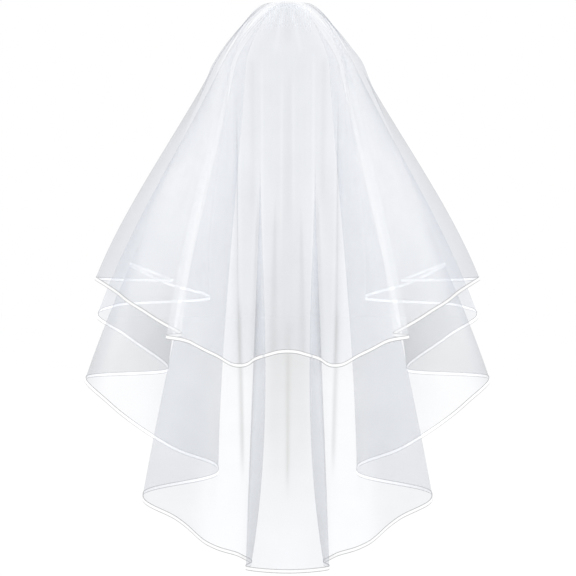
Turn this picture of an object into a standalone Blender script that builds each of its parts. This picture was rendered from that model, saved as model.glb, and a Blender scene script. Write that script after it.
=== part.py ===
"""A bridal veil: two tiers of tulle edged with satin ribbon, gathered onto a comb.

Metres, +Z up. The wearer faces +Y, so the back of the veil is at -Y. The origin is at the crown,
under the comb's spine. Each tier is a wall of tulle that leaves the comb, rounds over the crown,
passes a level ring and falls to its hem. A table gives each tier's folds for the wearer's left
half, from the middle of the back round to the front edge; the other half is its mirror image.
"""

import math
from collections import namedtuple

import bmesh
import bpy
from mathutils import Vector

MM = 0.001

# Cloth
WALL = 1.2 * MM
SEAM_GAP = 0.3 * MM
RIBBON_WIDTH = 5.4 * MM
LEVEL_STEP = 0.005

# Crown
RING_Z = -80 * MM
DOME_ROWS = 5
DOME_START_REACH = 24 * MM
DOME_END_REACH = 0.22
RING_CENTRE_Y = -10 * MM
RING_END_ANGLE = math.radians(112)

# Skirt below the ring
SKIRT_BULGE = 7.5 * MM
LONG_SKIRT_ROWS = 8
SHORT_SKIRT_ROWS = 7

# Small gathers between the large folds
GATHER_DEPTH = 3.6 * MM
GATHER_FADE_AT_HEM = 0.35

# Comb
COMB_HALF_WIDTH = 33 * MM
COMB_ARCH = 5 * MM
COMB_DROP_AT_ENDS = 7 * MM
GATHER_DROP_AT_ENDS = 3 * MM
SPINE_BACK = -7 * MM
SPINE_DEPTH = 3.4 * MM
SPINE_HEIGHT = 5 * MM
SPINE_TOP = 11.7 * MM
TOOTH_COUNT = 19
TOOTH_PATH = ((-7 * MM, -9 * MM), (-9 * MM, -9 * MM), (-8 * MM, -11 * MM))
TOOTH_TIP_SHARE = 0.45

# One row for each fold: steps and gathers are counted to the next row, sizes are in millimetres.
# low_x is how far the fold's line stands aside from a straight one, two thirds of the way down.
Fold = namedtuple("Fold", "name steps gathers ring_x ring_y low_x hem_x hem_y hem_z")

LONG_FOLDS = (
    Fold("centre", 3, 0, 0, -112, 0, 0, -215, -755),
    Fold("box pleat edge", 3, 0, -28, -111, 0, -55, -201, -751),
    Fold("box pleat root", 2, 0, -40, -106, 16.7, -48, -191, -746),
    Fold("panel a inner", 2, 0, -46, -101, 0, -62, -187, -737),
    Fold("panel a middle", 2, 0, -52, -97, 0, -101, -181, -724),
    Fold("panel a outer", 3, 0, -60, -92, 0, -143, -165, -693),
    Fold("tip a to b", 4, 0, -71, -84, 0, -194, -138, -661),
    Fold("root b to c", 3, 0, -57, -76, 0, -93, -114, -629),
    Fold("panel c inner", 2, 0, -68, -66, 0, -163, -98, -595),
    Fold("panel c outer", 3, 0, -83, -54, 0, -241, -72, -542),
    Fold("tip c to d", 4, 0, -92, -42, 0, -277, -48, -507),
    Fold("root d to e", 3, 0, -78, -30, 0, -164, -22, -495),
    Fold("panel e", 3, 0, -86, -17, 0, -218, -9, -453),
    Fold("tip e to f", 3, 0, -96, -4, 0, -264, 6, -421),
    Fold("panel f", 3, 0, -92, 2, 0, -240, 14, -408),
    Fold("root f to g", 3, 0, -79, 13, 0, -109, 46, -397),
    Fold("panel g", 3, 0, -84, 22, 0, -172, 66, -376),
    Fold("front edge", 0, 0, -88, 31, 0, -222, 82, -352),
)

SHORT_FOLDS = (
    Fold("centre", 8, 2, 0, -124, 0, 0, -198, -467),
    Fold("centre panel", 8, 2, -36, -122, 0, -34, -195, -474),
    Fold("centre corner", 4, 1, -69, -106, 0, -63, -186, -486),
    Fold("panel a inner", 4, 1, -76, -99, 0, -98, -182, -471),
    Fold("panel a outer", 3, 0, -81, -94, 0, -136, -176, -453),
    Fold("tip a to b", 2, 0, -84, -90, 0, -161, -170, -448),
    Fold("root b to c", 4, 1, -81, -83, 0, -141, -160, -445),
    Fold("panel c inner", 4, 1, -96, -60, 0, -192, -110, -416),
    Fold("panel c outer", 3, 0, -103, -32, 0, -236, -50, -388),
    Fold("tip c to d", 3, 0, -105, -6, 0, -267, 4, -370),
    Fold("panel d", 3, 0, -100, 1, 0, -233, 22, -372),
    Fold("root d to e", 3, 0, -91, 12, 0, -160, 46, -373),
    Fold("panel e", 3, 0, -90, 21, 0, -193, 60, -360),
    Fold("front edge", 0, 0, -90.2, 29.2, 0, -223.2, 80.8, -349),
)

Tier = namedtuple("Tier", "folds skirt_rows gather_half_width gather_z ring_half_width ring_depth")
LONG_TIER = Tier(LONG_FOLDS, LONG_SKIRT_ROWS, 32 * MM, 13 * MM, 93 * MM, 102 * MM)
SHORT_TIER = Tier(SHORT_FOLDS, SHORT_SKIRT_ROWS, 33 * MM, 15.1 * MM, 101 * MM, 114 * MM)


def slopes_through(values):
    """Slopes of a smooth curve through evenly spaced values, level at each turning point."""
    steps = [after - before for before, after in zip(values, values[1:])]
    inner = [2 * a * b / (a + b) if a * b > 0 else 0.0 for a, b in zip(steps, steps[1:])]
    return [steps[0], *inner, steps[-1]]


class SmoothLine:
    """A smooth curve through a list of numbers, read at any place between the first and the last."""

    def __init__(self, values):
        self.values = values
        self.slopes = slopes_through(values)

    def at(self, place):
        index = min(int(place), len(self.values) - 2)
        u = place - index
        start, end = self.values[index], self.values[index + 1]
        leave, arrive = self.slopes[index], self.slopes[index + 1]
        rise = end - start
        cubic = 10 * rise - 6 * leave - 4 * arrive
        quartic = 8 * leave + 7 * arrive - 15 * rise
        quintic = 6 * rise - 3 * leave - 3 * arrive
        return start + leave * u + cubic * u ** 3 + quartic * u ** 4 + quintic * u ** 5


def whole_round(folds):
    """The fold rows from the wearer's left front edge, through the back, to the right front edge."""
    left = list(reversed(folds))
    right = [
        fold._replace(ring_x=-fold.ring_x, low_x=-fold.low_x, hem_x=-fold.hem_x)
        for fold in folds[1:]
    ]
    return left + right


def stretches(folds):
    """Steps and gathers of each stretch between two rows of the whole round."""
    half = [(fold.steps, fold.gathers) for fold in folds[:-1]]
    return list(reversed(half)) + half


def column_places(folds):
    """Places of a wall's columns along the fold rows, closer together at the folds."""
    places = [0.0]
    for index, (steps, gathers) in enumerate(stretches(folds)):
        for step in range(1, steps + 1):
            even = step / steps
            eased = 0.5 - 0.5 * math.cos(math.pi * even)
            places.append(index + (even if gathers else eased))
    return places


def gather_phases(folds, places):
    """How many gathers lie between the left front edge and each column."""
    counts = [0]
    for _, gathers in stretches(folds):
        counts.append(counts[-1] + gathers)
    phases = []
    for place in places:
        index = min(int(place), len(counts) - 2)
        phases.append(counts[index] + (place - index) * (counts[index + 1] - counts[index]))
    return phases


def bezier(start, start_handle, end_handle, end, u):
    v = 1 - u
    return v ** 3 * start + 3 * v * v * u * start_handle + 3 * v * u * u * end_handle + u ** 3 * end


class Column:
    """One line of thread through a tier, from the comb (level 0) past the ring (1) to the hem (2)."""

    def __init__(self, tier, ring, low, hem, share, phase):
        side = 2 * share - 1
        angle = RING_END_ANGLE * side
        self.comb = Vector((
            tier.gather_half_width * side,
            COMB_ARCH * (side * side - 1),
            tier.gather_z - GATHER_DROP_AT_ENDS * side * side,
        ))
        self.round_ring = Vector((
            tier.ring_half_width * math.sin(angle),
            RING_CENTRE_Y - tier.ring_depth * math.cos(angle),
            RING_Z,
        ))
        self.ring = ring
        self.low = low
        self.hem = hem
        self.outward = Vector((self.round_ring.x, self.round_ring.y - RING_CENTRE_Y, 0)).normalized()
        self.gather = GATHER_DEPTH * (0.5 - 0.5 * math.cos(2 * math.pi * phase))

    def dome_point(self, u):
        """The crown: level where it leaves the comb, and in line with the skirt at the ring."""
        reach = (self.round_ring - self.comb).length * DOME_END_REACH
        start_handle = self.comb + self.outward * DOME_START_REACH
        end_handle = self.round_ring - (self.hem - self.ring).normalized() * reach
        point = bezier(self.comb, start_handle, end_handle, self.round_ring, u)
        folded = u * u * (3 - 2 * u)
        lift = Vector((0, 0, 1 - folded)) + self.outward * folded
        return point + (self.ring - self.round_ring) * folded + lift.normalized() * self.gather * folded

    def skirt_point(self, u):
        """Nearly straight to the hem, standing out most two thirds of the way down."""
        bulge = 27 / 4 * u * u * (1 - u)
        gather = self.gather * (1 - GATHER_FADE_AT_HEM * u)
        straight = self.ring.lerp(self.hem, u)
        return straight + self.low * bulge + self.outward * (bulge * SKIRT_BULGE + gather)

    def point(self, level):
        return self.dome_point(level) if level < 1 else self.skirt_point(level - 1)

    def downward(self, level):
        """The way the thread runs at a level, towards the hem."""
        return self.point(min(level + LEVEL_STEP, 2)) - self.point(max(level - LEVEL_STEP, 0))

    def level_above_hem(self, distance):
        return 2 - distance / (self.hem - self.ring).length


def columns_of(tier):
    rows = whole_round(tier.folds)
    lines = {field: SmoothLine([getattr(row, field) * MM for row in rows]) for field in Fold._fields[3:]}
    places = column_places(tier.folds)
    rings = [Vector((lines["ring_x"].at(p), lines["ring_y"].at(p), RING_Z)) for p in places]
    lows = [Vector((lines["low_x"].at(p), 0, 0)) for p in places]
    hems = [Vector((lines["hem_x"].at(p), lines["hem_y"].at(p), lines["hem_z"].at(p))) for p in places]
    lengths = [0.0]
    for before, after in zip(hems, hems[1:]):
        lengths.append(lengths[-1] + (after - before).length)
    phases = gather_phases(tier.folds, places)
    return [
        Column(tier, ring, low, hem, length / lengths[-1], phase)
        for ring, low, hem, length, phase in zip(rings, lows, hems, lengths, phases)
    ]


def plain_material(name, colour, roughness, metallic=0.0):
    material = bpy.data.materials.new(name)
    material.use_nodes = True
    shader = material.node_tree.nodes["Principled BSDF"]
    shader.inputs["Base Color"].default_value = (*colour, 1)
    shader.inputs["Roughness"].default_value = roughness
    shader.inputs["Metallic"].default_value = metallic
    return material


def facing(row, index, downward):
    """The way the cloth's outer face looks at one point of a row of points that runs round it."""
    along = row[min(index + 1, len(row) - 1)] - row[max(index - 1, 0)]
    return downward.cross(along).normalized()


def wall(name, columns, levels_of_column, material):
    """A closed wall on a grid of points: columns run round the veil, levels run down it."""
    levels = [levels_of_column(column) for column in columns]
    rows = [[column.point(level) for column, level in zip(columns, row)] for row in zip(*levels)]
    mesh = bpy.data.meshes.new(name)
    sheet = bmesh.new()
    bmesh.ops.create_grid(sheet, x_segments=len(columns) - 1, y_segments=len(rows) - 1, size=0.5)
    outer = bmesh.ops.extrude_face_region(sheet, geom=sheet.faces[:], use_keep_orig=True)["geom"]
    outer_points = [item for item in outer if isinstance(item, bmesh.types.BMVert)]
    bmesh.ops.translate(sheet, verts=outer_points, vec=(0, 0, 1))
    bmesh.ops.recalc_face_normals(sheet, faces=sheet.faces[:])
    for vertex in sheet.verts:
        index = round((vertex.co.x + 0.5) * (len(columns) - 1))
        level = round((0.5 - vertex.co.y) * (len(rows) - 1))
        side = vertex.co.z - 0.5
        downward = columns[index].downward(levels[index][level])
        vertex.co = rows[level][index] + facing(rows[level], index, downward) * WALL * side
    bmesh.ops.triangulate(sheet, faces=sheet.faces[:], quad_method="SHORT_EDGE")
    sheet.to_mesh(mesh)
    sheet.free()
    mesh.shade_smooth()
    mesh.materials.append(material)
    piece = bpy.data.objects.new(name, mesh)
    bpy.context.scene.collection.objects.link(piece)
    return piece


def tulle(name, tier, material):
    def levels(column):
        last = column.level_above_hem(RIBBON_WIDTH + SEAM_GAP)
        dome = [row / DOME_ROWS for row in range(DOME_ROWS)]
        skirt = [1 + (last - 1) * row / tier.skirt_rows for row in range(tier.skirt_rows + 1)]
        return dome + skirt

    return wall(name, columns_of(tier), levels, material)


def hem_ribbon(name, tier, material):
    """The satin ribbon along the hem, seamed to the lower edge of its tier."""

    def levels(column):
        return [column.level_above_hem(RIBBON_WIDTH), 2]

    return wall(name, columns_of(tier), levels, material)


def comb(material):
    """A spine with teeth that run down and back under the tulle, arched to the crown."""
    strips = 2 * TOOTH_COUNT - 1
    mesh = bpy.data.meshes.new("comb")
    bar = bmesh.new()
    bmesh.ops.create_grid(bar, x_segments=strips, y_segments=1, size=0.5)
    for vertex in bar.verts:
        along = vertex.co.x * 2
        back = SPINE_BACK + SPINE_DEPTH * (vertex.co.y + 0.5)
        vertex.co = Vector((COMB_HALF_WIDTH * along, back, SPINE_TOP - SPINE_HEIGHT))
    tips = sorted(bar.faces, key=lambda face: face.calc_center_median().x)[::2]
    top = bmesh.ops.extrude_face_region(bar, geom=bar.faces[:], use_keep_orig=True)["geom"]
    top_points = [item for item in top if isinstance(item, bmesh.types.BMVert)]
    bmesh.ops.translate(bar, verts=top_points, vec=(0, 0, SPINE_HEIGHT))
    for back, down in TOOTH_PATH:
        tips = bmesh.ops.extrude_discrete_faces(bar, faces=tips)["faces"]
        for tip in tips:
            bmesh.ops.translate(bar, verts=tip.verts, vec=(0, back, down))
    for tip in tips:
        middle = tip.calc_center_median()
        for vertex in tip.verts:
            vertex.co = middle.lerp(vertex.co, TOOTH_TIP_SHARE)
    for vertex in bar.verts:
        share = vertex.co.x / COMB_HALF_WIDTH
        vertex.co.y += COMB_ARCH * share * share
        vertex.co.z -= COMB_DROP_AT_ENDS * share * share
    bmesh.ops.recalc_face_normals(bar, faces=bar.faces[:])
    bar.to_mesh(mesh)
    bar.free()
    mesh.materials.append(material)
    piece = bpy.data.objects.new("comb", mesh)
    bpy.context.scene.collection.objects.link(piece)
    return piece


for thing in list(bpy.data.objects):
    bpy.data.objects.remove(thing, do_unlink=True)

white_tulle = plain_material("White tulle", (0.93, 0.94, 0.97), 0.85)
white_satin = plain_material("White satin ribbon", (0.98, 0.98, 0.97), 0.4)
clear_plastic = plain_material("Clear plastic", (0.88, 0.9, 0.92), 0.2)

tulle("long_tier", LONG_TIER, white_tulle)
tulle("short_tier", SHORT_TIER, white_tulle)
hem_ribbon("long_ribbon", LONG_TIER, white_satin)
hem_ribbon("short_ribbon", SHORT_TIER, white_satin)
comb(clear_plastic)
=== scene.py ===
import math
from collections import namedtuple

import bmesh
import bpy
import numpy as np
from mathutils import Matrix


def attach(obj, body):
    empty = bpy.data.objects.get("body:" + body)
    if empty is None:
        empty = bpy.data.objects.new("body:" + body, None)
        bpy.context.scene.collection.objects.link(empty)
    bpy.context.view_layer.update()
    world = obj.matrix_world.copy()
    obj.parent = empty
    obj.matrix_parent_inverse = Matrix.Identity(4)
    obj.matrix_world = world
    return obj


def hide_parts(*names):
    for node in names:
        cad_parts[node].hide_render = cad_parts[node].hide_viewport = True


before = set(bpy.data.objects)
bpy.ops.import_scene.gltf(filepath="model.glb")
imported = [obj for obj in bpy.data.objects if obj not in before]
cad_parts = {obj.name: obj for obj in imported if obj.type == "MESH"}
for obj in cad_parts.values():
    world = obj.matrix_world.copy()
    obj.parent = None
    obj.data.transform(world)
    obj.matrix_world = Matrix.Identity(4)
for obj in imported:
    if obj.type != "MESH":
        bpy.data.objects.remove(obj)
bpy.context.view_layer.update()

# Camera. It stands four metres behind the wearer's back and looks level at the middle of the veil.
# The long lens keeps the folds nearly free of perspective.
CAMERA_DISTANCE = 4.0
CAMERA_Z = -0.381
LENS_LENGTH = 180.56
SENSOR_WIDTH = 36
FRAME_PIXELS = 576
MIDDLE_SHIFT_PIXELS = 0.5

camera_data = bpy.data.cameras.new("camera")
camera_data.sensor_width = SENSOR_WIDTH
camera_data.lens = LENS_LENGTH
camera_data.shift_x = MIDDLE_SHIFT_PIXELS / FRAME_PIXELS
camera = bpy.data.objects.new("camera", camera_data)
camera.location = (0, -CAMERA_DISTANCE, CAMERA_Z)
camera.rotation_euler = (math.pi / 2, 0, 0)
bpy.context.scene.collection.objects.link(camera)
bpy.context.scene.camera = camera


# Long tier. The lower part of one oval of soft nylon tulle, gathered by hand onto the comb, which
# rounds over the crown and falls in nested folds to its hem. It is one sheet of net, too fine to
# cut, so the shell is see-through and the threads are drawn by its material.
MM = 0.001
RIBBON_WIDTH = 5.4 * MM
HEM_TUCK = 1.4 * MM
LEVEL_STEP = 0.005
RING_Z = -80 * MM
DOME_START_REACH = 24 * MM
DOME_END_REACH = 0.22
RING_CENTRE_Y = -10 * MM
RING_END_ANGLE = math.radians(112)
SKIRT_BULGE = 7.5 * MM
GATHER_DEPTH = 3.6 * MM
GATHER_FADE_AT_HEM = 0.35
COMB_ARCH = 5 * MM
LOW_LEVEL = 1.55
GATHER_DROP_AT_ENDS = 3 * MM
DOME_ROWS = 46
SKIRT_ROWS = 64
FINE_GATHERS = 31
COARSE_GATHERS = 13
CREASE_FADE_IN = 0.18
CREASE_FADE_OUT = 0.25
LAP_RISE = 1.4
LAP_SHIFT = 2.33
BULGE_TO_ONE = 27 / 4

# One row for each fold of the wearer's left half, in millimetres. Its painted light and shade says
# how light the net looks at the ring, low on the skirt and at the hem, from 0 in a shaded fold to 1
# in the open. Its painted glow makes the hem's ribbon glow, which stands for the light that reaches
# it through the layers round it.
Fold = namedtuple(
    "Fold",
    "name columns gathers ring_x ring_y low_x hem_x hem_y hem_z ring_tone low_tone hem_tone hem_glow",
)
# A crease runs from its top level to its bottom one, between two places along the folds that are
# counted from the middle of the back. Its widths, depth and lap are in millimetres: it stands out or
# sinks by its depth, folds over itself by its lap, and its shade paints shade along it; a shade below
# zero paints light instead.
Crease = namedtuple(
    "Crease", "top_place bottom_place top bottom top_width bottom_width depth lap shade",
)
Tier = namedtuple("Tier", "folds creases gather_half_width gather_z ring_half_width ring_depth cut")

LONG_TIER = Tier(
    folds=(
        Fold("centre", 22, 0, 0, -112, 0, 0, -215, -755, 0.64, 0.3, 0.7, 0.02),
        Fold("box pleat edge", 14, 0, -28, -111, 0, -55, -201, -751, 0.64, 0.7, 0.54, 0.02),
        Fold("box pleat root", 14, 0, -40, -106, 16.7, -48, -191, -746, 0.66, 0.72, 0.36, 0.1),
        Fold("panel a inner", 18, 0, -46, -101, 0, -62, -187, -737, 0.7, 0.8, 0.82, 0.02),
        Fold("panel a middle", 16, 0, -52, -97, 0, -101, -181, -724, 0.75, 0.84, 0.78, 0.02),
        Fold("panel a outer", 16, 0, -60, -92, 0, -143, -165, -693, 0.82, 0.8, 0.58, 0.02),
        Fold("tip a to b", 18, 0, -71, -84, 0, -194, -138, -661, 0.86, 0.68, 0.58, 0.1),
        Fold("root b to c", 16, 0, -57, -76, 0, -93, -114, -629, 0.9, 0.55, 0.46, 0.5),
        Fold("panel c inner", 16, 0, -68, -66, 0, -163, -98, -595, 0.9, 0.64, 0.76, 0.6),
        Fold("panel c outer", 14, 0, -83, -54, 0, -241, -72, -542, 0.9, 0.78, 0.9, 0.1),
        Fold("tip c to d", 18, 0, -92, -42, 0, -277, -48, -507, 0.9, 0.78, 0.4, 0.25),
        Fold("root d to e", 14, 0, -78, -30, 0, -164, -22, -495, 0.88, 0.7, 0.2, 0.6),
        Fold("panel e", 12, 0, -86, -17, 0, -218, -9, -453, 0.76, 0.82, 0.56, 0.7),
        Fold("tip e to f", 12, 0, -96, -4, 0, -264, 6, -421, 0.56, 0.7, 0.75, 0.3),
        Fold("panel f", 16, 0, -92, 2, 0, -240, 14, -408, 0.76, 0.94, 0.88, 0.9),
        Fold("root f to g", 12, 0, -79, 13, 0, -109, 46, -397, 0.92, 1, 1, 1.3),
        Fold("panel g", 12, 0, -84, 22, 0, -172, 66, -376, 0.92, 1, 1, 1.3),
        Fold("front edge", 0, 0, -88, 31, 0, -222, 82, -352, 0.92, 1, 1, 1),
    ),
    creases=(
        Crease(-3.4, -3.2, 1.18, 1.65, 12.0, 20.0, 0.0, 0.0, 0.34),
        Crease(3.4, 3.2, 1.18, 1.64, 12.0, 20.0, 0.0, 0.0, 0.34),
        Crease(0.02, 0.0, 1.48, 1.87, 4.4, 2.2, -2.0, 0.6, 0.85),
        Crease(-3.55, -2.9, 1.46, 1.87, 3.0, 3.2, -2.6, 0.0, 0.75),
        Crease(3.6, 2.95, 1.48, 1.86, 3.0, 3.2, -2.4, 0.0, 0.62),
        Crease(-0.88, -0.97, 1.4, 1.96, 4.2, 2.0, 0.0, 0.0, 0.5),
        Crease(0.88, 0.97, 1.4, 1.95, 4.2, 2.0, 0.0, 0.0, 0.42),
        Crease(-0.35, -0.3, 1.5, 1.84, 7.5, 8.5, -1.6, 0.0, 0.14),
        Crease(0.4, 0.35, 1.52, 1.8, 7.6, 8.4, -1.4, 0.0, 0.08),
        Crease(-4.0, -4.1, 1.72, 1.95, 4.5, 4.9, -1.8, 0.0, 0.06),
        Crease(4.1, 4.0, 1.7, 1.93, 4.5, 4.9, -1.6, 0.0, 0.06),
        Crease(-0.45, -0.4, 0.5, 1.5, 3.1, 5.0, -2.0, 0.0, 0.0),
        Crease(0.5, 0.42, 0.55, 1.6, 3.2, 5.2, -1.8, 0.0, 0.0),
        Crease(-4.6, -4.8, 0.6, 1.6, 4.4, 7.0, 2.2, 0.0, 0.0),
        Crease(4.5, 4.7, 0.6, 1.7, 4.4, 7.2, 2.0, 0.0, 0.0),
        Crease(-8.6, -8.8, 1.3, 1.95, 9.3, 11.8, -3.0, 0.0, 0.0),
        Crease(-9.4, -9.3, 1.5, 1.98, 8.4, 9.9, 2.4, 0.0, -0.12),
        Crease(8.5, 8.7, 1.25, 1.93, 9.1, 11.7, -2.8, 0.0, 0.0),
        Crease(9.3, 9.5, 1.45, 1.97, 7.4, 8.9, 2.6, 0.0, -0.1),
        Crease(-12.4, -12.5, 1.0, 1.9, 6.1, 8.7, -2.4, 0.0, 0.0),
        Crease(12.5, 12.4, 1.1, 1.95, 6.4, 8.9, -2.2, 0.0, 0.0),
        Crease(-16.3, -16.4, 1.1, 1.9, 6.4, 8.7, 2.2, 0.0, 0.0),
        Crease(16.2, 16.5, 1.0, 1.85, 6.1, 8.6, 2.0, 0.0, 0.0),
    ),
    gather_half_width=32 * MM,
    gather_z=13 * MM,
    ring_half_width=93 * MM,
    ring_depth=102 * MM,
    cut=(1.2, 0.75, 0.71),
)


def smooth_line(values, places):
    """A smooth curve through evenly spaced values, level at each turning point."""
    values = np.array(values)
    steps = np.diff(values)
    before, after = steps[:-1], steps[1:]
    turning = before * after <= 0
    inner = np.where(turning, 0, 2 * before * after / np.where(turning, 1, before + after))
    slopes = np.concatenate((steps[:1], inner, steps[-1:]))
    index = np.minimum(places.astype(int), len(steps) - 1)
    u = places - index
    rise, leave, arrive = steps[index], slopes[index], slopes[index + 1]
    cubic = 10 * rise - 6 * leave - 4 * arrive
    quartic = 8 * leave + 7 * arrive - 15 * rise
    quintic = 6 * rise - 3 * leave - 3 * arrive
    return values[index] + leave * u + cubic * u ** 3 + quartic * u ** 4 + quintic * u ** 5


def unit(vectors):
    return vectors / np.linalg.norm(vectors, axis=-1, keepdims=True)


def eased(low, high, values):
    u = np.clip((values - low) / (high - low), 0, 1)
    return u * u * (3 - 2 * u)


class Drape:
    """A tier's threads as arrays: one column for each place along the folds, levels run down them.

    Level 0 is the comb, level 1 the ring round the crown and level 2 the hem.
    """

    def __init__(self, tier):
        left = list(reversed(tier.folds))
        mirrored = [
            fold._replace(ring_x=-fold.ring_x, low_x=-fold.low_x, hem_x=-fold.hem_x)
            for fold in tier.folds[1:]
        ]
        rows = left + mirrored
        half = [(fold.columns, fold.gathers) for fold in tier.folds[:-1]]
        stretches = list(reversed(half)) + half
        places = np.concatenate(
            [index + np.arange(columns) / columns for index, (columns, _) in enumerate(stretches)]
            + [[len(stretches)]]
        )
        self.tier = tier
        self.places = places
        self.middle = len(tier.folds) - 1
        line = {
            field: smooth_line([getattr(row, field) for row in rows], places)
            for field in Fold._fields[3:]
        }
        counts = np.concatenate(([0], np.cumsum([gathers for _, gathers in stretches])))
        phase = np.interp(places, np.arange(len(counts)), counts)
        self.gather = (GATHER_DEPTH * (0.5 - 0.5 * np.cos(2 * math.pi * phase)))[:, None]
        ring_z = np.full(len(places), RING_Z)
        self.ring = np.stack((line["ring_x"] * MM, line["ring_y"] * MM, ring_z), axis=1)
        self.low_x = line["low_x"][:, None] * np.array((MM, 0, 0))
        self.hem = np.stack((line["hem_x"], line["hem_y"], line["hem_z"]), axis=1) * MM
        # The folds' painted light and shade at the ring, low on the skirt and at the hem.
        self.painted_shading = [line[field] for field in ("ring_tone", "low_tone", "hem_tone")]
        self.hem_glow = line["hem_glow"]
        hem_steps = np.linalg.norm(np.diff(self.hem, axis=0), axis=1)
        lengths = np.concatenate(([0], np.cumsum(hem_steps)))
        self.hem_length = lengths
        self.share = lengths / lengths[-1]
        side = 2 * self.share - 1
        angle = RING_END_ANGLE * side
        self.comb = np.stack(
            (
                tier.gather_half_width * side,
                COMB_ARCH * (side * side - 1),
                tier.gather_z - GATHER_DROP_AT_ENDS * side * side,
            ),
            axis=1,
        )
        self.round_ring = np.stack(
            (
                tier.ring_half_width * np.sin(angle),
                RING_CENTRE_Y - tier.ring_depth * np.cos(angle),
                ring_z,
            ),
            axis=1,
        )
        self.outward = unit(self.round_ring - (0, RING_CENTRE_Y, RING_Z))

    def level_above_hem(self, distance):
        return 2 - distance / np.linalg.norm(self.hem - self.ring, axis=1)

    def points(self, levels):
        """Points at a table of levels, with one row for each level and one column for each thread."""
        u = np.clip(levels, 0, 1)[..., None]
        reach = np.linalg.norm(self.round_ring - self.comb, axis=1, keepdims=True) * DOME_END_REACH
        start_handle = self.comb + self.outward * DOME_START_REACH
        end_handle = self.round_ring - unit(self.hem - self.ring) * reach
        v = 1 - u
        dome = v ** 3 * self.comb + 3 * v * v * u * start_handle
        dome = dome + 3 * v * u * u * end_handle + u ** 3 * self.round_ring
        folded = u * u * (3 - 2 * u)
        lift = unit(self.outward * folded + np.array((0, 0, 1)) * (1 - folded))
        dome = dome + (self.ring - self.round_ring) * folded + lift * self.gather * folded
        w = np.clip(levels - 1, 0, 1)[..., None]
        bulge = BULGE_TO_ONE * w * w * (1 - w)
        skirt = self.ring + (self.hem - self.ring) * w + self.low_x * bulge
        gather = self.gather * (1 - GATHER_FADE_AT_HEM * w)
        skirt = skirt + self.outward * (bulge * SKIRT_BULGE + gather)
        return np.where(levels[..., None] < 1, dome, skirt)

    def frames(self, levels):
        """Points with the way along each row, the way down each thread and the outer face's way."""
        points = self.points(levels)
        lower = self.points(np.minimum(levels + LEVEL_STEP, 2))
        down = lower - self.points(np.maximum(levels - LEVEL_STEP, 0))
        along = unit(np.gradient(points, axis=1))
        down = unit(down)
        return points, along, down, unit(np.cross(down, along))

    def creased(self, levels):
        """The cloth's surface, gathered finely at the comb and with creases pressed in, and their
        painted shade.
        """
        points, along, _, out = self.frames(levels)
        gaps = np.linalg.norm(np.diff(points, axis=1), axis=2)
        arc = np.concatenate((np.zeros((len(levels), 1)), np.cumsum(gaps, axis=1)), axis=1)
        turn = 2 * math.pi * self.share
        wander = 1.4 * np.sin(turn * 4.3 + 0.7) + 0.8 * np.sin(turn * 9.1)
        fine = np.sin(turn * FINE_GATHERS + wander) * (0.65 + 0.35 * np.sin(turn * 6.7 + 2))
        coarse = np.sin(turn * COARSE_GATHERS + 0.8 * wander + 1.1)
        near_comb = (0.25 + 0.5 * eased(0.05, 0.45, levels)) * (1 - eased(0.55, 1.25, levels))
        further = 0.7 * eased(0.2, 0.7, levels) * (1 - eased(0.9, 1.7, levels))
        raised = (near_comb * fine + further * coarse) * MM
        shifted = np.zeros_like(raised)
        lightness = np.ones_like(raised)
        for crease in self.tier.creases:
            span = crease.bottom - crease.top
            at = (levels.mean(axis=1) - crease.top) / span
            place = self.middle + crease.top_place + (crease.bottom_place - crease.top_place) * at
            start = np.array([np.interp(p, self.places, row) for p, row in zip(place, arc)])
            fade = eased(crease.top, crease.top + CREASE_FADE_IN * span, levels)
            fade_start = crease.bottom - CREASE_FADE_OUT * span
            fade = fade * (1 - eased(fade_start, crease.bottom, levels))
            widening = (crease.bottom_width - crease.top_width) * np.clip(at, 0, 1)
            width = (crease.top_width + widening)[:, None] * MM
            u = (arc - start[:, None]) / width
            bell = np.exp(-u * u)
            raised = raised + crease.depth * MM * bell * fade
            raised = raised + crease.lap * MM * LAP_RISE * u * bell * fade
            shifted = shifted - crease.lap * MM * LAP_SHIFT * u * bell * fade
            # Painted shade along the crease; a shade below zero paints light.
            lightness = lightness - crease.shade * bell * fade
        return points + out * raised[..., None] + along * shifted[..., None], lightness


def sheet_mesh(name, points, uvs, lights):
    """A grid whose vertices stand on a table of points, with flat-cut UVs in metres and painted
    light.
    """
    row_count, column_count = points.shape[:2]
    grid = bmesh.new()
    bmesh.ops.create_grid(grid, x_segments=column_count - 1, y_segments=row_count - 1, size=0.5)
    uv_layer = grid.loops.layers.uv.new("flat_cut")
    light_layer = grid.verts.layers.float.new("fold_light")
    cell = {}
    for vertex in grid.verts:
        column = round((vertex.co.x + 0.5) * (column_count - 1))
        row = round((0.5 - vertex.co.y) * (row_count - 1))
        cell[vertex.index] = (row, column)
        vertex.co = points[row, column]
        vertex[light_layer] = lights[row, column]
    for face in grid.faces:
        for loop in face.loops:
            loop[uv_layer].uv = uvs[cell[loop.vert.index]]
    mesh = bpy.data.meshes.new(name)
    grid.to_mesh(mesh)
    grid.free()
    mesh.shade_smooth()
    piece = bpy.data.objects.new(name, mesh)
    bpy.context.scene.collection.objects.link(piece)
    return piece


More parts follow.
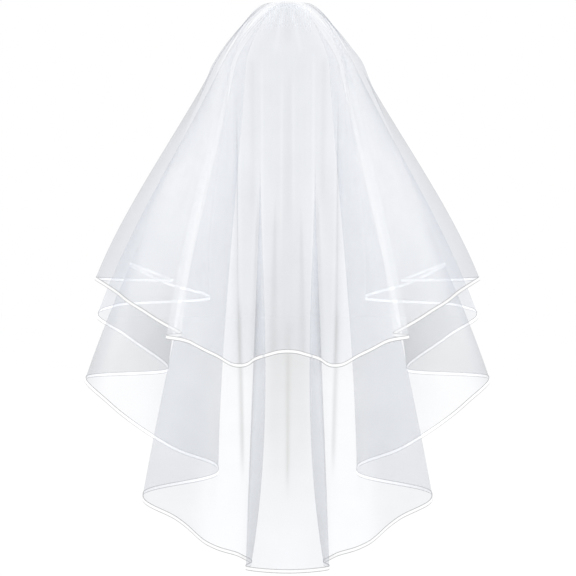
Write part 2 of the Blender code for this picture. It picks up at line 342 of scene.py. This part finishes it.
def tulle_sheet(name, tier):
    drape = Drape(tier)
    last = drape.level_above_hem(HEM_TUCK)
    dome = np.arange(DOME_ROWS)[:, None] / DOME_ROWS * np.ones_like(last)
    skirt = 1 + (last - 1) * np.arange(SKIRT_ROWS + 1)[:, None] / SKIRT_ROWS
    levels = np.concatenate((dome, skirt))
    points, lightness = drape.creased(levels)
    gaps = np.linalg.norm(np.diff(points, axis=0), axis=2)
    down_thread = np.concatenate((np.zeros((1, points.shape[1])), np.cumsum(gaps, axis=0)))
    across = drape.hem_length * np.ones_like(levels)
    uvs = np.stack((across, down_thread), axis=2)
    # Painted light and shade of the folds, blended from the ring down to the hem, times the creases'
    # painted shade.
    ring_tone, low_tone, hem_tone = drape.painted_shading
    painted_shading = ring_tone + (low_tone - ring_tone) * eased(1, LOW_LEVEL, levels)
    painted_shading = painted_shading + (hem_tone - low_tone) * eased(LOW_LEVEL, 2, levels)
    return sheet_mesh(name, points, uvs, painted_shading * lightness)


def new_material(name):
    material = bpy.data.materials.new(name)
    material.use_nodes = True
    nodes, links = material.node_tree.nodes, material.node_tree.links
    return material, nodes, links, nodes["Principled BSDF"]


# The net's threads are about a quarter of a millimetre thick and a millimetre and a half apart. They
# show only as a faint relief. The fold's painted light and shade set the cloth's colour, and a
# painted glow of that colour stands for the light that passes through fine net from behind.
NET_CELLS_PER_METRE = 700

tulle, nodes, links, shader = new_material("white_tulle")
fold_shading = nodes.new("ShaderNodeAttribute")
fold_shading.attribute_name = "fold_light"
cut = nodes.new("ShaderNodeUVMap")
cut.uv_map = "flat_cut"
net = nodes.new("ShaderNodeTexVoronoi")
net.feature = "DISTANCE_TO_EDGE"
net.inputs["Scale"].default_value = NET_CELLS_PER_METRE
net.inputs["Randomness"].default_value = 0.25
links.new(cut.outputs["UV"], net.inputs["Vector"])
thread = nodes.new("ShaderNodeMapRange")
thread.inputs["From Min"].default_value = 0.04
thread.inputs["From Max"].default_value = 0.22
thread.inputs["To Min"].default_value = 1.0
thread.inputs["To Max"].default_value = 0.0
links.new(net.outputs["Distance"], thread.inputs["Value"])
cloud = nodes.new("ShaderNodeTexNoise")
cloud.inputs["Scale"].default_value = 22
cloud.inputs["Detail"].default_value = 4
links.new(cut.outputs["UV"], cloud.inputs["Vector"])
mottle = nodes.new("ShaderNodeMapRange")
mottle.inputs["From Min"].default_value = 0.3
mottle.inputs["From Max"].default_value = 0.7
mottle.inputs["To Min"].default_value = -0.03
mottle.inputs["To Max"].default_value = 0.03
links.new(cloud.outputs["Fac"], mottle.inputs["Value"])
lightness = nodes.new("ShaderNodeMath")
lightness.operation = "ADD"
links.new(fold_shading.outputs["Fac"], lightness.inputs[0])
links.new(mottle.outputs["Result"], lightness.inputs[1])
# Painted shade: the fold's painted light turns the net from black through a bluish grey to light
# grey.
shade = nodes.new("ShaderNodeValToRGB")
shade.color_ramp.elements[0].color = (0, 0, 0, 1)
shade.color_ramp.elements[1].color = (0.6, 0.602, 0.606, 1)
middle_shade = shade.color_ramp.elements.new(0.7)
middle_shade.color = (0.402, 0.419, 0.457, 1)
links.new(lightness.outputs["Value"], shade.inputs["Fac"])
links.new(shade.outputs["Color"], shader.inputs["Base Color"])
net_bump = nodes.new("ShaderNodeBump")
net_bump.inputs["Strength"].default_value = 0.06
net_bump.inputs["Distance"].default_value = 0.0002
links.new(thread.outputs["Result"], net_bump.inputs["Height"])
links.new(net_bump.outputs["Normal"], shader.inputs["Normal"])
shader.inputs["Roughness"].default_value = 0.75
shader.inputs["Specular IOR Level"].default_value = 0.2
shader.inputs["Sheen Weight"].default_value = 0.15
shader.inputs["Sheen Roughness"].default_value = 0.4
# Painted glow in the net's own painted colour.
links.new(shade.outputs["Color"], shader.inputs["Emission Color"])
shader.inputs["Emission Strength"].default_value = 0.6
shader.inputs["Alpha"].default_value = 0.3

long_tulle = tulle_sheet("long_tulle", LONG_TIER)
long_tulle.data.materials.append(tulle)
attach(long_tulle, "root")
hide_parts("long_tier")


# Short tier. The upper part of the same oval, folded over the comb so that it falls outside the
# long tier. Its middle hangs in fine pleats and its sides fold back round the shoulders.
SHORT_TIER = Tier(
    folds=(
        Fold("centre", 40, 2, 0, -124, 0, 0, -198, -467, 0.66, 0.73, 0.67, 0.02),
        Fold("centre panel", 40, 2, -36, -122, 0, -34, -195, -474, 0.66, 0.73, 0.67, 0.02),
        Fold("centre corner", 22, 1, -69, -106, 0, -63, -186, -486, 0.67, 0.72, 0.68, 0.02),
        Fold("panel a inner", 20, 1, -76, -99, 0, -98, -182, -471, 0.74, 0.84, 0.77, 0.02),
        Fold("panel a outer", 14, 0, -81, -94, 0, -136, -176, -453, 0.8, 0.91, 0.87, 0.02),
        Fold("tip a to b", 12, 0, -84, -90, 0, -161, -170, -448, 0.84, 0.88, 0.87, 0.05),
        Fold("root b to c", 18, 1, -81, -83, 0, -141, -160, -445, 0.88, 1, 0.97, 0.1),
        Fold("panel c inner", 18, 1, -96, -60, 0, -192, -110, -416, 0.78, 1, 0.97, 0.02),
        Fold("panel c outer", 14, 0, -103, -32, 0, -236, -50, -388, 0.42, 0.68, 0.68, 0.02),
        Fold("tip c to d", 12, 0, -105, -6, 0, -267, 4, -370, 0.4, 0.5, 0.52, 0.15),
        Fold("panel d", 14, 0, -100, 1, 0, -233, 22, -372, 0.5, 0.62, 0.64, 0.8),
        Fold("root d to e", 12, 0, -91, 12, 0, -160, 46, -373, 0.92, 1, 1, 1.3),
        Fold("panel e", 12, 0, -90, 21, 0, -193, 60, -360, 0.92, 1, 1, 1.3),
        Fold("front edge", 0, 0, -90.2, 29.2, 0, -223.2, 80.8, -349, 0.92, 1, 1, 1),
    ),
    creases=(
        Crease(-2.0, -2.0, 1.07, 2.3, 1.6, 4.6, -1.2, 1.6, 0.34),
        Crease(2.0, 2.0, 1.05, 2.3, 1.6, 4.6, -1.2, 1.5, 0.34),
        Crease(-1.8, -1.82, 1.1, 2.0, 2.4, 2.6, 1.0, 0.0, -0.08),
        Crease(1.82, 1.8, 1.12, 2.0, 2.4, 2.6, 1.0, 0.0, -0.08),
        Crease(-1.3, -1.3, 0.9, 1.6, 5.6, 5.6, -1.4, 0.0, 0.2),
        Crease(1.36, 1.3, 0.88, 1.55, 5.6, 5.6, -1.3, 0.0, 0.2),
        Crease(-1.05, -1.5, 1.4, 2.4, 0.8, 11.0, -1.6, 0.0, 0.42),
        Crease(1.06, 1.48, 1.38, 2.4, 0.8, 11.0, -1.5, 0.0, 0.4),
        Crease(-0.96, -0.9, 0.85, 2.2, 2.2, 2.6, 1.6, 0.0, -0.16),
        Crease(0.98, 0.92, 0.8, 2.2, 2.2, 2.6, 1.5, 0.0, -0.16),
        Crease(-0.44, -0.62, 1.42, 2.4, 0.8, 9.0, -1.2, 0.0, 0.3),
        Crease(0.48, 0.65, 1.46, 2.4, 0.8, 8.5, -1.1, 0.0, 0.28),
        Crease(0.04, 0.0, 1.0, 1.6, 3.0, 5.0, -1.0, 0.0, 0.13),
        Crease(-0.2, -0.24, 1.02, 1.7, 2.0, 2.2, 1.3, 0.0, -0.12),
        Crease(0.2, 0.24, 1.04, 1.6, 2.0, 2.2, 1.1, 0.0, -0.08),
        Crease(-0.47, -0.47, 0.15, 0.95, 2.0, 3.3, 1.0, 0.0, -0.14),
        Crease(0.49, 0.49, 0.15, 0.92, 2.0, 3.2, 1.0, 0.0, -0.14),
        Crease(0.02, 0.0, 0.22, 0.8, 4.6, 6.7, -1.2, 0.0, 0.12),
        Crease(-0.8, -0.8, 0.15, 0.7, 2.8, 4.0, -1.0, 0.0, 0.1),
        Crease(0.82, 0.8, 0.15, 0.66, 2.8, 4.0, -1.0, 0.0, 0.1),
        Crease(-2.3, -2.35, 1.1, 2.1, 2.8, 4.0, 1.4, 0.0, -0.06),
        Crease(2.35, 2.3, 1.1, 2.1, 2.8, 4.0, 1.3, 0.0, -0.06),
        Crease(-3.1, -3.2, 0.7, 2.0, 4.6, 8.0, -2.0, 0.0, 0.04),
        Crease(3.2, 3.1, 0.75, 1.9, 4.8, 7.7, -1.8, 0.0, 0.04),
        Crease(-7.4, -7.5, 0.8, 1.9, 6.1, 9.7, 2.2, 0.0, -0.04),
        Crease(7.6, 7.4, 0.7, 1.95, 5.8, 9.8, 2.0, 0.0, -0.04),
    ),
    gather_half_width=33 * MM,
    gather_z=15.1 * MM,
    ring_half_width=101 * MM,
    ring_depth=114 * MM,
    cut=(1.2, 0.47, 0.44),
)

short_tulle = tulle_sheet("short_tulle", SHORT_TIER)
short_tulle.data.materials.append(tulle)
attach(short_tulle, "root")
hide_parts("short_tier")


# Ribbons. Narrow white satin folded over each hem and sewn through, so both faces of the cloth
# show it. Each is one bent strip that closes on the net with both its selvedges. It glows by its
# fold's painted glow, which stands for the light that reaches it through the layers of net round it.
RIBBON_HALF_THICKNESS = 0.55 * MM
RIBBON_LIP = 0.12 * MM
SELVEDGE_TO_FOLD = 0.0058
STITCH_HALF_STEP = 0.0015
STITCH_DIMPLE = 0.0006
WEAVE_SCALE = 900


def ribbon_profile():
    """Steps up from the hem's fold and out from the cloth, from one selvedge round to the other."""
    top, thick = RIBBON_WIDTH, RIBBON_HALF_THICKNESS
    side = [(top, RIBBON_LIP), (top - 0.15 * MM, 0.7 * thick), (top - 0.6 * MM, thick)]
    side += [(0.62 * top, 0.92 * thick), (0.4 * top, thick), (0.9 * MM, thick)]
    side += [(0.35 * MM, 0.75 * thick), (0.08 * MM, 0.35 * thick)]
    return [(up, -out) for up, out in side] + [(0, 0)] + list(reversed(side))


def hem_ribbon(name, tier):
    drape = Drape(tier)
    profile = np.array(ribbon_profile())
    levels = np.stack([drape.level_above_hem(up) for up, _ in profile])
    points, _, _, out = drape.frames(levels)
    points = points + out * profile[:, 1][:, None, None]
    gaps = np.linalg.norm(np.diff(profile, axis=0), axis=1)
    round_profile = np.concatenate(([0], np.cumsum(gaps)))[:, None] * np.ones(len(drape.places))
    uvs = np.stack((drape.hem_length * np.ones_like(levels), round_profile), axis=2)
    # The fold's painted glow is the strip's light.
    return sheet_mesh(name, points[::-1], uvs[::-1], drape.hem_glow * np.ones_like(levels))


satin, nodes, links, shader = new_material("white_satin")
cut = nodes.new("ShaderNodeUVMap")
cut.uv_map = "flat_cut"
split = nodes.new("ShaderNodeSeparateXYZ")
links.new(cut.outputs["UV"], split.inputs["Vector"])
weave = nodes.new("ShaderNodeTexWave")
weave.wave_type = "BANDS"
weave.bands_direction = "Y"
weave.inputs["Scale"].default_value = WEAVE_SCALE
weave.inputs["Distortion"].default_value = 0.6
links.new(cut.outputs["UV"], weave.inputs["Vector"])
stitch = nodes.new("ShaderNodeMath")
stitch.operation = "PINGPONG"
stitch.inputs[1].default_value = STITCH_HALF_STEP
links.new(split.outputs["X"], stitch.inputs[0])
dimple = nodes.new("ShaderNodeMapRange")
dimple.inputs["From Min"].default_value = 0.0
dimple.inputs["From Max"].default_value = STITCH_DIMPLE
dimple.inputs["To Min"].default_value = -1.0
dimple.inputs["To Max"].default_value = 0.0
links.new(stitch.outputs["Value"], dimple.inputs["Value"])
selvedge = nodes.new("ShaderNodeMath")
selvedge.operation = "PINGPONG"
selvedge.inputs[1].default_value = SELVEDGE_TO_FOLD
links.new(split.outputs["Y"], selvedge.inputs[0])
# Painted shade: the ribbon's colour is a light grey core between darker grey along both selvedges,
# where its rounded edges turn away from the light.
edge = nodes.new("ShaderNodeValToRGB")
edge.color_ramp.elements[0].position = 0.0
edge.color_ramp.elements[0].color = (0.37, 0.38, 0.4, 1)
edge.color_ramp.elements[1].position = 1.0
edge.color_ramp.elements[1].color = (0.37, 0.38, 0.4, 1)
for position, value in ((0.13, 0.38), (0.23, 0.85), (0.75, 0.85), (0.86, 0.38)):
    stop = edge.color_ramp.elements.new(position)
    stop.color = (value, value, value, 1)
across = nodes.new("ShaderNodeMapRange")
across.inputs["From Max"].default_value = SELVEDGE_TO_FOLD
links.new(selvedge.outputs["Value"], across.inputs["Value"])
links.new(across.outputs["Result"], edge.inputs["Fac"])
links.new(edge.outputs["Color"], shader.inputs["Base Color"])
height = nodes.new("ShaderNodeMath")
height.operation = "MULTIPLY_ADD"
height.inputs[1].default_value = 0.3
links.new(weave.outputs["Fac"], height.inputs[0])
links.new(dimple.outputs["Result"], height.inputs[2])
satin_bump = nodes.new("ShaderNodeBump")
satin_bump.inputs["Strength"].default_value = 0.35
satin_bump.inputs["Distance"].default_value = 0.0002
links.new(height.outputs["Value"], satin_bump.inputs["Height"])
links.new(satin_bump.outputs["Normal"], shader.inputs["Normal"])
# Painted glow: the ribbon glows in its own colour, as strongly as its fold's painted glow.
painted_glow_share = nodes.new("ShaderNodeAttribute")
painted_glow_share.attribute_name = "fold_light"
glow = nodes.new("ShaderNodeVectorMath")
glow.operation = "MULTIPLY"
links.new(edge.outputs["Color"], glow.inputs[0])
links.new(painted_glow_share.outputs["Vector"], glow.inputs[1])
links.new(glow.outputs["Vector"], shader.inputs["Emission Color"])
shader.inputs["Emission Strength"].default_value = 1.0
shader.inputs["Roughness"].default_value = 0.35
shader.inputs["Sheen Weight"].default_value = 0.2

long_binding = hem_ribbon("long_binding", LONG_TIER)
short_binding = hem_ribbon("short_binding", SHORT_TIER)
for piece, node in ((long_binding, "long_ribbon"), (short_binding, "short_ribbon")):
    piece.data.materials.append(satin)
    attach(piece, "root")
    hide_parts(node)


# Comb. Clear moulded plastic, with a rounded spine and nineteen tapered teeth that lie under the
# tulle and grip the hair. It is arched to the crown.
COMB_HALF_WIDTH = 33 * MM
COMB_DROP_AT_ENDS = 7 * MM
SPINE_BACK = -7 * MM
SPINE_DEPTH = 3.4 * MM
SPINE_HEIGHT = 5 * MM
SPINE_TOP = 11.7 * MM
TOOTH_COUNT = 19
TOOTH_PATH = (
    (-3.4, -4.4), (-3.6, -4.6), (-4.4, -4.5), (-4.6, -4.5), (-4.1, -5.4), (-3.9, -5.6),
)
TOOTH_TAPER = 0.86

comb_mesh = bpy.data.meshes.new("comb_clear")
bar = bmesh.new()
bmesh.ops.create_grid(bar, x_segments=2 * TOOTH_COUNT - 1, y_segments=1, size=0.5)
for vertex in bar.verts:
    vertex.co = (
        2 * COMB_HALF_WIDTH * vertex.co.x,
        SPINE_BACK + SPINE_DEPTH * (vertex.co.y + 0.5),
        SPINE_TOP - SPINE_HEIGHT,
    )
tips = sorted(bar.faces, key=lambda face: face.calc_center_median().x)[::2]
top = bmesh.ops.extrude_face_region(bar, geom=bar.faces[:], use_keep_orig=True)["geom"]
top_points = [item for item in top if isinstance(item, bmesh.types.BMVert)]
bmesh.ops.translate(bar, verts=top_points, vec=(0, 0, SPINE_HEIGHT))
for back, down in TOOTH_PATH:
    tips = bmesh.ops.extrude_discrete_faces(bar, faces=tips)["faces"]
    for tip in tips:
        bmesh.ops.translate(bar, verts=tip.verts, vec=(0, back * MM, down * MM))
        middle = tip.calc_center_median()
        for vertex in tip.verts:
            vertex.co = middle.lerp(vertex.co, TOOTH_TAPER)
for vertex in bar.verts:
    share = vertex.co.x / COMB_HALF_WIDTH
    vertex.co.y += COMB_ARCH * share * share
    vertex.co.z -= COMB_DROP_AT_ENDS * share * share
bmesh.ops.recalc_face_normals(bar, faces=bar.faces[:])
bar.to_mesh(comb_mesh)
bar.free()
comb_mesh.shade_smooth()
comb = bpy.data.objects.new("comb_clear", comb_mesh)
bpy.context.scene.collection.objects.link(comb)
rounding = comb.modifiers.new("rounded edges", "BEVEL")
rounding.width = 0.35 * MM
rounding.segments = 2
rounding.limit_method = "ANGLE"

plastic, nodes, links, shader = new_material("clear_plastic")
haze = nodes.new("ShaderNodeTexNoise")
haze.inputs["Scale"].default_value = 400
place = nodes.new("ShaderNodeTexCoord")
links.new(place.outputs["Object"], haze.inputs["Vector"])
gloss = nodes.new("ShaderNodeMapRange")
gloss.inputs["To Min"].default_value = 0.12
gloss.inputs["To Max"].default_value = 0.24
links.new(haze.outputs["Fac"], gloss.inputs["Value"])
links.new(gloss.outputs["Result"], shader.inputs["Roughness"])
shader.inputs["Base Color"].default_value = (0.9, 0.92, 0.94, 1)
# Painted glow: the plastic glows in its own colour, standing for light that passes through it.
shader.inputs["Emission Color"].default_value = (0.9, 0.92, 0.94, 1)
shader.inputs["Emission Strength"].default_value = 0.22
shader.inputs["Alpha"].default_value = 0.3
comb_mesh.materials.append(plastic)
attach(comb, "root")
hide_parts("comb")


# Binding thread. White sewing thread wound over the spine between the teeth, through both layers
# of gathered tulle, so that it holds the veil to the comb.
THREAD_RADIUS = 0.18 * MM
BINDING_TURNS = 18
BINDING_SPREAD = 0.93
POINTS_A_TURN = 14
LOOP_BACK = -8.2 * MM
LOOP_FRONT = -2.6 * MM
LOOP_LOW = 6.0 * MM
LOOP_HIGH = 16.2 * MM

binding_curve = bpy.data.curves.new("binding_thread", "CURVE")
binding_curve.dimensions = "3D"
binding_curve.bevel_depth = THREAD_RADIUS
binding_curve.bevel_resolution = 2
point_count = BINDING_TURNS * POINTS_A_TURN + 1
winding = binding_curve.splines.new("POLY")
winding.points.add(point_count - 1)
for number, point in enumerate(winding.points):
    turn = number / POINTS_A_TURN
    share = 2 * number / (point_count - 1) - 1
    x = BINDING_SPREAD * COMB_HALF_WIDTH * share
    angle = 2 * math.pi * turn
    y = (LOOP_BACK + LOOP_FRONT) / 2 + (LOOP_FRONT - LOOP_BACK) / 2 * math.cos(angle)
    z = (LOOP_LOW + LOOP_HIGH) / 2 + (LOOP_HIGH - LOOP_LOW) / 2 * math.sin(angle)
    point.co = (x, y + COMB_ARCH * share * share, z, 1)
binding = bpy.data.objects.new("binding_thread", binding_curve)
bpy.context.scene.collection.objects.link(binding)

cotton, nodes, links, shader = new_material("white_thread")
twist = nodes.new("ShaderNodeTexWave")
twist.inputs["Scale"].default_value = 1500
place = nodes.new("ShaderNodeTexCoord")
links.new(place.outputs["Object"], twist.inputs["Vector"])
twist_bump = nodes.new("ShaderNodeBump")
twist_bump.inputs["Strength"].default_value = 0.3
twist_bump.inputs["Distance"].default_value = 0.0001
links.new(twist.outputs["Fac"], twist_bump.inputs["Height"])
links.new(twist_bump.outputs["Normal"], shader.inputs["Normal"])
shader.inputs["Base Color"].default_value = (0.9, 0.9, 0.9, 1)
# Painted glow: the thread glows faintly in its own colour.
shader.inputs["Emission Color"].default_value = (0.9, 0.9, 0.9, 1)
shader.inputs["Emission Strength"].default_value = 0.15
shader.inputs["Roughness"].default_value = 0.7
binding_curve.materials.append(cotton)
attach(binding, "root")


# Studio. A wide pale floor under the hem, white surroundings and two large soft lights that stand
# behind the camera, so the folds keep light shadows.
FLOOR_Z = -0.82
FLOOR_HALF_SIZE = 40
LIGHT_POWER = 28
LIGHT_SIZE = 1.6
floor_mesh = bpy.data.meshes.new("studio_floor")
plane = bmesh.new()
bmesh.ops.create_grid(plane, x_segments=1, y_segments=1, size=FLOOR_HALF_SIZE)
bmesh.ops.translate(plane, verts=plane.verts, vec=(0, 0, FLOOR_Z))
plane.to_mesh(floor_mesh)
plane.free()
floor = bpy.data.objects.new("studio_floor", floor_mesh)
bpy.context.scene.collection.objects.link(floor)
paper, nodes, links, shader = new_material("pale_paper")
grain = nodes.new("ShaderNodeTexNoise")
grain.inputs["Scale"].default_value = 3
place = nodes.new("ShaderNodeTexCoord")
links.new(place.outputs["Object"], grain.inputs["Vector"])
paper_shade = nodes.new("ShaderNodeMapRange")
paper_shade.inputs["To Min"].default_value = 0.49
paper_shade.inputs["To Max"].default_value = 0.51
links.new(grain.outputs["Fac"], paper_shade.inputs["Value"])
links.new(paper_shade.outputs["Result"], shader.inputs["Base Color"])
shader.inputs["Roughness"].default_value = 1.0
shader.inputs["Specular IOR Level"].default_value = 0.0
shader.inputs["Emission Color"].default_value = (1, 1, 1, 1)
shader.inputs["Emission Strength"].default_value = 0.5
floor_mesh.materials.append(paper)

world = bpy.data.worlds.new("white_surroundings")
world.use_nodes = True
world.node_tree.nodes["Background"].inputs["Color"].default_value = (1, 1, 1, 1)
world.node_tree.nodes["Background"].inputs["Strength"].default_value = 1.0
bpy.context.scene.world = world
bpy.context.scene.view_settings.view_transform = "Standard"
bpy.context.scene.cycles.transparent_max_bounces = 64

for name, place, aim in (
    ("key_light", (-2.2, -3.6, 2.0), (0, 0, -0.3)),
    ("fill_light", (2.2, -3.6, 2.0), (0, 0, -0.3)),
):
    light_data = bpy.data.lights.new(name, "AREA")
    light_data.energy = LIGHT_POWER
    light_data.size = LIGHT_SIZE
    light = bpy.data.objects.new(name, light_data)
    light.location = place
    away = np.array(place) - np.array(aim)
    light.rotation_euler = (
        math.atan2(math.hypot(away[0], away[1]), away[2]), 0, math.atan2(away[0], -away[1]),
    )
    bpy.context.scene.collection.objects.link(light)
